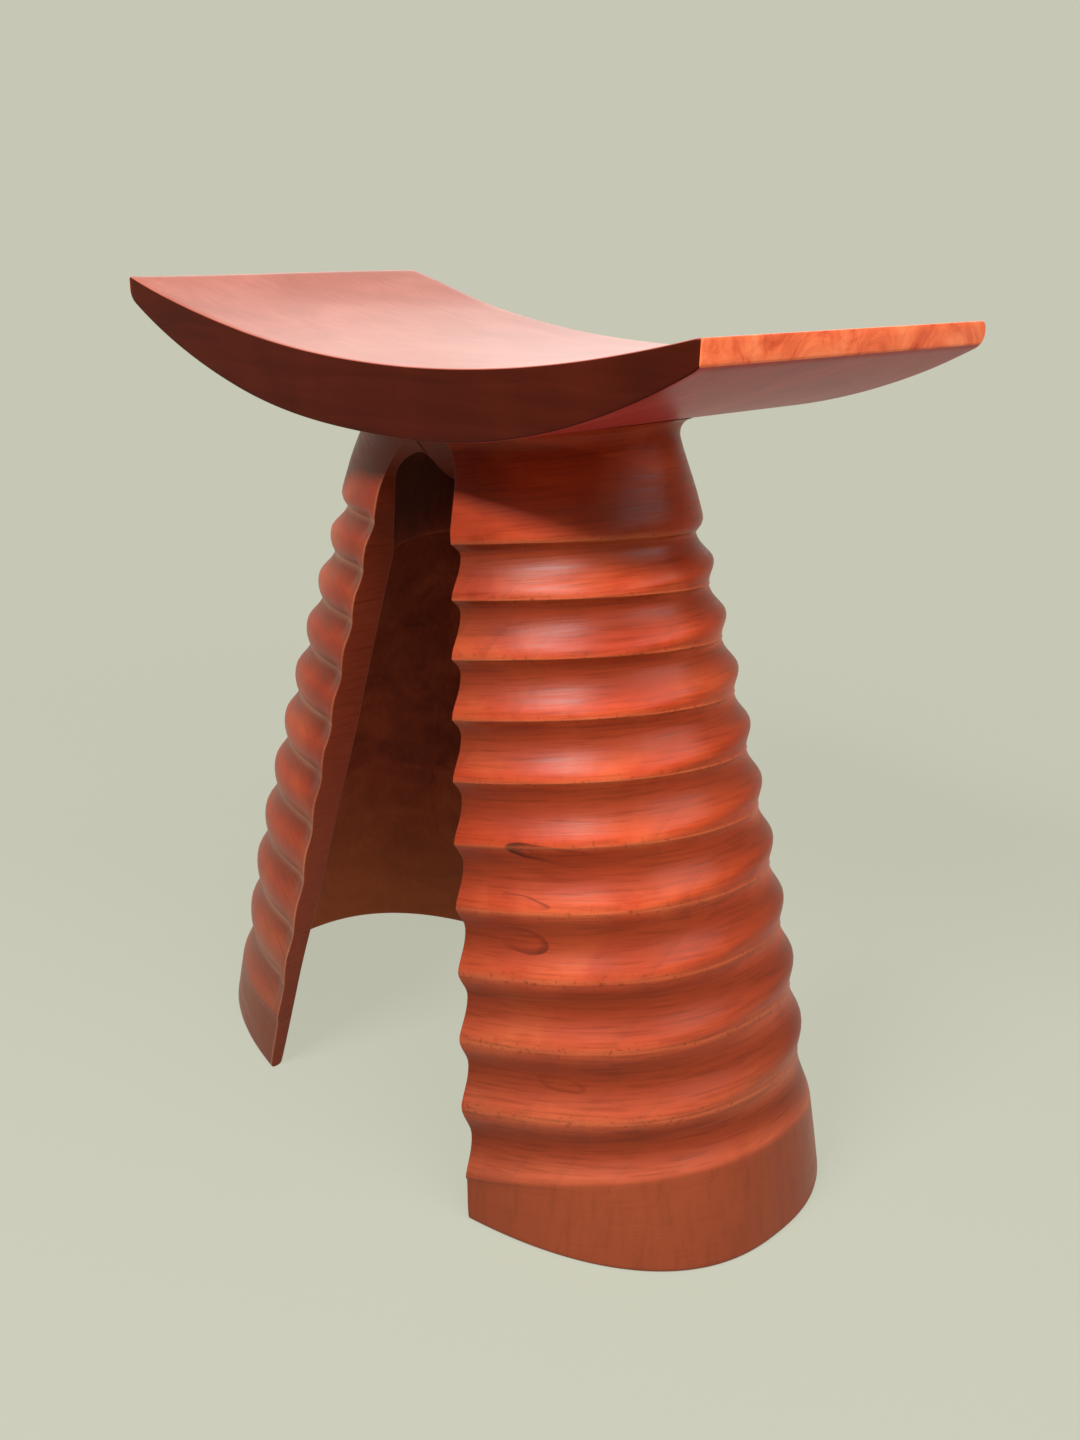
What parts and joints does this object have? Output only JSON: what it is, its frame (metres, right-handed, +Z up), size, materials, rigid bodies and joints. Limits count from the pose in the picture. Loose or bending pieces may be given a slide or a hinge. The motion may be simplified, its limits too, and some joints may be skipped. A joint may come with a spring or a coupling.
{
  "type": "carved wooden stool",
  "caption": "Wooden stool: a dished rectangular seat on two facing hollow half-cone legs with carved ribs and an arched gap between them.",
  "frame": {"origin": "on the floor, under the middle of the seat", "axes": "+Z up, X along the seat from the left leg to the right leg, -Y towards the front long side"},
  "size_m": [0.4208, 0.2266, 0.4493],
  "materials": {
    "seat_wood": "polished to a soft gloss",
    "leg_wood": "satin oil and wax",
    "dowel_wood": "bare"
  },
  "bodies": {
    "root": {"seat": "seat_wood", "left_leg": "leg_wood", "right_leg": "leg_wood", "left_dowel_inner": "dowel_wood", "left_dowel_back": "dowel_wood", "left_dowel_front": "dowel_wood", "right_dowel_inner": "dowel_wood", "right_dowel_back": "dowel_wood", "right_dowel_front": "dowel_wood"}
  },
  "joints": []
}
